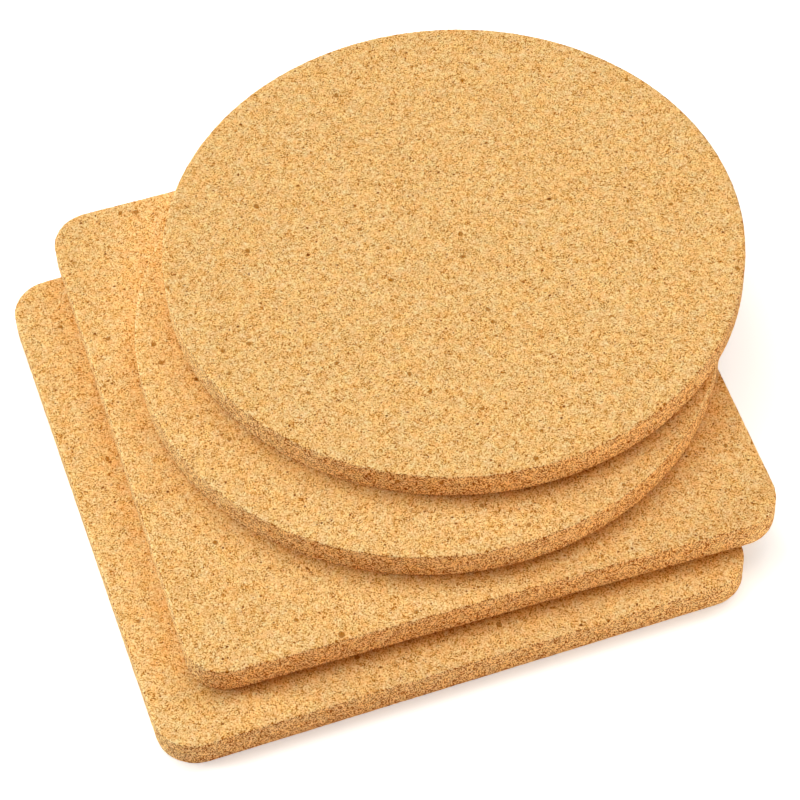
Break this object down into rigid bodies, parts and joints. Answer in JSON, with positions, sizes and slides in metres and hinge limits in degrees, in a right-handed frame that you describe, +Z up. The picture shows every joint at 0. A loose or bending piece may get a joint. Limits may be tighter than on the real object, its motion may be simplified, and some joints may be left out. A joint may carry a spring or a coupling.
{
  "type": "cork trivet set",
  "caption": "Stack of loose cork trivets, rounded squares under rounds, each a plain slab with a sanded rim that lifts off to stand under a hot pot.",
  "frame": {"origin": "centre of the lower square trivet's underside, on the table", "axes": "+Z up through the stack; X along the lower square's near edge, +X to the right; +Y away from the viewer"},
  "size_m": [0.233, 0.2295, 0.04],
  "materials": {
    "cork": "bare agglomerated cork, fine tan and brown granules with open pits, sanded faces and rims, no lacquer"
  },
  "bodies": {
    "lower_square": {"lower_square": "cork"},
    "upper_square": {"upper_square": "cork"},
    "lower_round": {"lower_round": "cork"},
    "upper_round": {"upper_round": "cork"}
  },
  "joints": [
    {"name": "upper_square_lift", "type": "slide", "parent": "lower_square", "child": "upper_square", "axis": [0, 0, 1], "range_m": [0, 0.08]},
    {"name": "lower_round_lift", "type": "slide", "parent": "upper_square", "child": "lower_round", "axis": [0, 0, 1], "range_m": [0, 0.08]},
    {"name": "upper_round_lift", "type": "slide", "parent": "lower_round", "child": "upper_round", "axis": [0, 0, 1], "range_m": [0, 0.08]}
  ]
}
